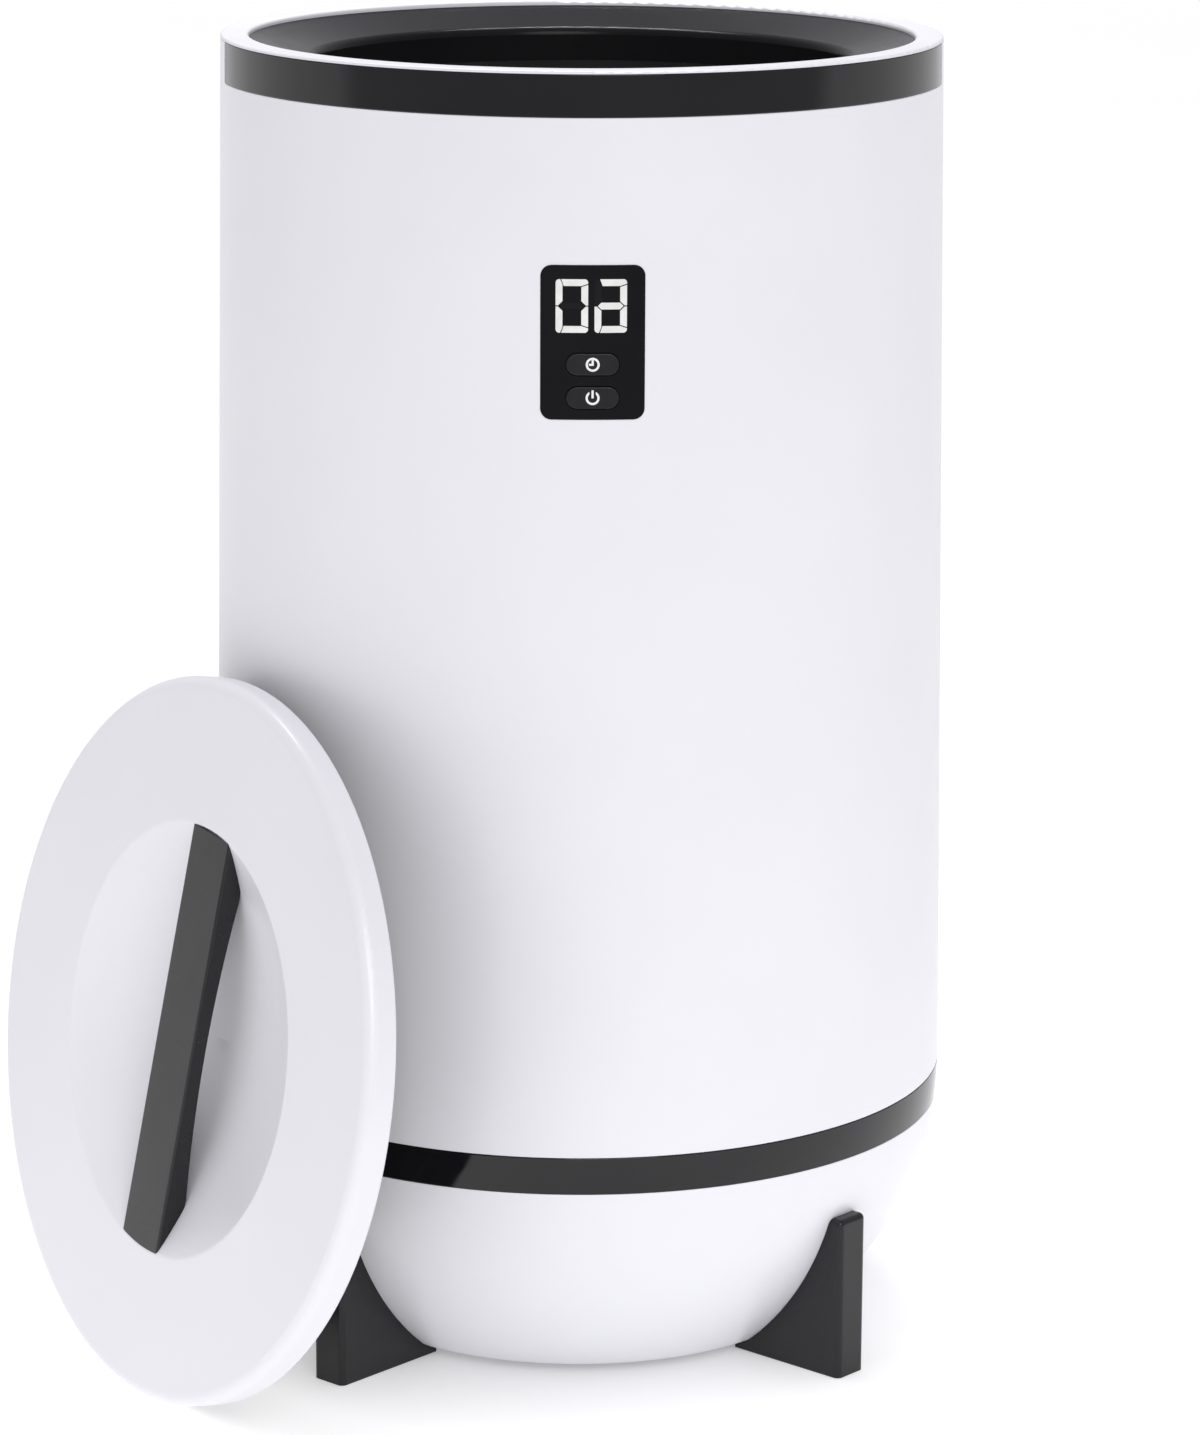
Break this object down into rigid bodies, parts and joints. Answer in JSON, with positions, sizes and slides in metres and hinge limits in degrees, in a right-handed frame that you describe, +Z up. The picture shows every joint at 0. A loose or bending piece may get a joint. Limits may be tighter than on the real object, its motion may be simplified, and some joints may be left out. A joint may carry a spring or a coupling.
{
  "type": "towel warmer bucket",
  "caption": "Free-standing bucket warmer for towels with a lift-off lid, a digital panel and push buttons on the front, raised on fin feet.",
  "frame": {"origin": "on the bucket's axis, at the floor that the foot pads stand on", "axes": "+Z is up along the bucket's axis, -Y is the front with the display panel, +X is to the right as seen from the front"},
  "size_m": [0.3833, 0.3731, 0.5227],
  "materials": {
    "white_plastic": "semi-gloss moulded white",
    "gloss_black": "polished black",
    "satin_black": "satin black",
    "coated_aluminium": "dark non-stick coating",
    "heater_foil": "foil-backed heating mat",
    "heater_plate": "cast plate",
    "insulation_felt": "loose felt",
    "grey_plastic": "heat-proof, matte",
    "bare_metal": "bare",
    "screw_steel": "zinc-plated",
    "foot_black": "satin black",
    "pad_rubber": "matte",
    "circuit_board": "solder mask",
    "transformer_core": "varnished laminations",
    "component_black": "moulded",
    "terminal_green": "moulded",
    "lead_rubber": "matte",
    "ribbon_grey": "flat ribbon",
    "panel_gloss": "polished black window",
    "lit_white": "glowing diffuser",
    "unlit_smoke": "dark diffuser",
    "button_grey": "satin dark grey",
    "icon_white": "moulded-in white",
    "cover_black": "matte black",
    "gasket_rubber": "matte",
    "handle_black": "satin black"
  },
  "bodies": {
    "base": {"outer_shell": "white_plastic", "base_bowl": "white_plastic", "rim_ring": "white_plastic", "top_band": "gloss_black", "lower_band": "gloss_black", "inner_collar": "satin_black", "bucket_liner": "coated_aluminium", "liner_base": "coated_aluminium", "side_heater": "heater_foil", "base_heater": "heater_plate", "insulation_sleeve": "insulation_felt", "liner_support": "grey_plastic", "chassis_plate": "grey_plastic", "panel_frame": "grey_plastic", "thermostat": "bare_metal", "thermal_fuse": "bare_metal", "temperature_sensor": "bare_metal", "liner_screws": "screw_steel", "chassis_screws": "screw_steel", "bowl_screws": "screw_steel", "foot_screws": "screw_steel", "board_screws": "screw_steel", "display_screws": "screw_steel", "foot_front_left": "foot_black", "foot_front_right": "foot_black", "foot_rear_right": "foot_black", "foot_rear_left": "foot_black", "foot_pad_front_left": "pad_rubber", "foot_pad_front_right": "pad_rubber", "foot_pad_rear_right": "pad_rubber", "foot_pad_rear_left": "pad_rubber", "power_board": "circuit_board", "display_board": "circuit_board", "power_transformer": "transformer_core", "power_relay": "component_black", "filter_capacitor": "component_black", "timer_switch": "component_black", "power_switch": "component_black", "terminal_block": "terminal_green", "cord_gland": "foot_black", "mains_lead": "lead_rubber", "heater_leads": "lead_rubber", "display_cable": "ribbon_grey", "panel_window": "panel_gloss", "digit_module": "component_black", "lit_segments": "lit_white", "unlit_segments": "unlit_smoke"},
    "timer_button": {"timer_button": "button_grey", "timer_icon": "icon_white", "timer_switch_stem": "component_black"},
    "power_button": {"power_button": "button_grey", "power_icon": "icon_white", "power_switch_stem": "component_black"},
    "lid": {"lid_shell": "white_plastic", "lid_liner": "cover_black", "lid_insulation": "insulation_felt", "lid_gasket": "gasket_rubber", "lid_handle": "handle_black", "handle_screws": "screw_steel", "lid_screws": "screw_steel"}
  },
  "joints": [
    {"name": "lid_lift", "type": "slide", "parent": "base", "child": "lid", "axis": [0, 0, 1], "range_m": [0, 0.55]},
    {"name": "timer_press", "type": "slide", "parent": "base", "child": "timer_button", "axis": [0, 1, 0], "range_m": [0, 0.0008], "stiffness_N_per_m": 900},
    {"name": "power_press", "type": "slide", "parent": "base", "child": "power_button", "axis": [0, 1, 0], "range_m": [0, 0.0008], "stiffness_N_per_m": 900}
  ]
}
